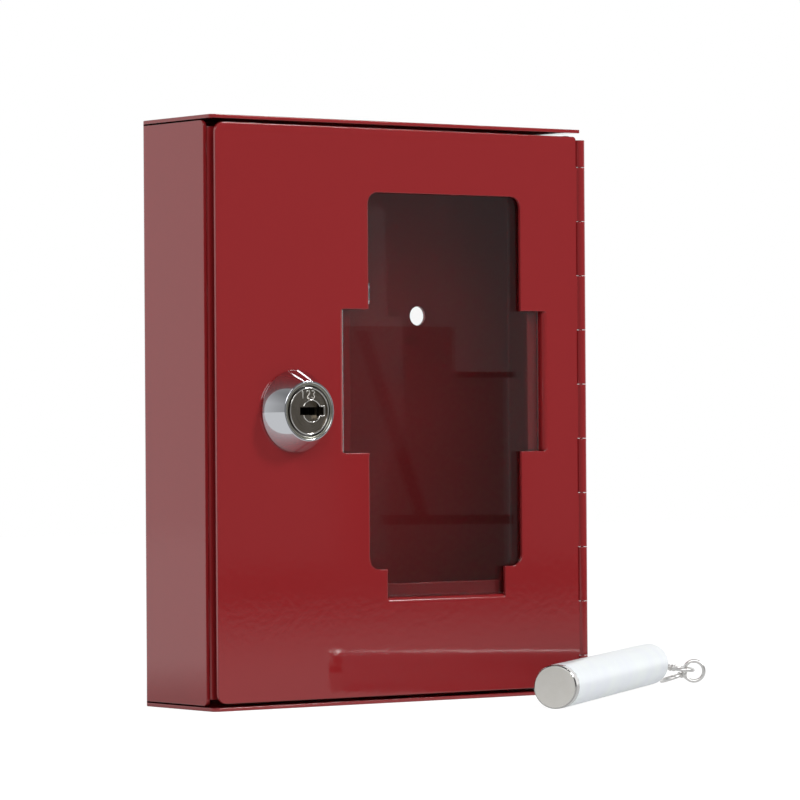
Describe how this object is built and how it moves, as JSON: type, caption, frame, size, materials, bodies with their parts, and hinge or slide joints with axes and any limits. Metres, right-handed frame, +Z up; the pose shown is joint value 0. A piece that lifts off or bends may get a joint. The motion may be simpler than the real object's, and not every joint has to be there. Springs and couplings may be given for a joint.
{
  "type": "break glass key box",
  "caption": "Flat wall-hung key box in red sheet steel with a hinged front, breakable glass window held in folded channels, cam lock, key hook and a loose striker on a chain",
  "frame": {"origin": "centre of the case's flat rear face, where it meets the wall", "axes": "+X right seen from the front, +Y into the wall, +Z up; the door faces -Y"},
  "size_m": [0.1705, 0.0849, 0.15],
  "materials": {
    "red_coat": "gloss powder coat, fine orange peel",
    "clear_glass": "clear 2 mm float glass, arrissed edges",
    "lock_chrome": "bright chrome plate",
    "plug_steel": "brushed nickel plate, stamped digits",
    "zinc_plate": "bright zinc plate",
    "wafer_brass": "stamped brass, bare",
    "pin_steel": "drawn wire, bare",
    "rivet_alloy": "bare aluminium alloy",
    "bar_steel": "turned steel, satin end face and polished rim",
    "white_sleeve": "smooth white vinyl sleeve",
    "chain_nickel": "nickel-plated wire"
  },
  "bodies": {
    "case": {"case_shell": "red_coat", "latch_strip": "red_coat", "key_hook": "zinc_plate", "hook_rivet": "rivet_alloy", "hinge_pin": "pin_steel"},
    "door": {"door_panel": "red_coat", "lock_housing": "lock_chrome", "lock_nut": "zinc_plate"},
    "pane": {"glass_pane": "clear_glass"},
    "plug": {"lock_plug": "plug_steel", "lock_wafers": "wafer_brass", "wafer_springs": "pin_steel", "lock_stop_washer": "zinc_plate", "lock_cam": "zinc_plate", "cam_screw": "zinc_plate"},
    "striker": {"hammer_rod": "bar_steel", "hammer_sleeve": "white_sleeve", "hammer_eye": "chain_nickel"},
    "link_1": {"chain_link_1": "chain_nickel"},
    "link_2": {"chain_link_2": "chain_nickel"}
  },
  "joints": [
    {"name": "door_hinge", "type": "hinge", "parent": "case", "child": "door", "pos_m": [0.0595, -0.03155, 0], "axis": [0, 0, 1], "range_deg": [0, 110]},
    {"name": "pane_slide", "type": "slide", "parent": "door", "child": "pane", "axis": [0, 0, 1], "range_m": [0, 0.0095]},
    {"name": "lock_turn", "type": "hinge", "parent": "door", "child": "plug", "pos_m": [-0.03405, -0.032, 0.0003], "axis": [0, 1, 0], "range_deg": [0, 90]},
    {"name": "striker_slide", "type": "slide", "parent": "case", "child": "striker", "axis": [1, 0, 0], "range_m": [0, 0.077]},
    {"name": "link_1_swing", "type": "hinge", "parent": "striker", "child": "link_1", "pos_m": [0.10017, -0.01181, -0.0708], "axis": [0, 0, 1], "range_deg": [-5, 5]},
    {"name": "link_2_swing", "type": "hinge", "parent": "link_1", "child": "link_2", "pos_m": [0.10848, -0.01896, -0.0716], "axis": [0, 0, 1], "range_deg": [-5, 5]}
  ],
  "couplings": [
    {"joint": "striker_slide", "follows": "door_hinge", "m_per_rad": 0.04}
  ]
}
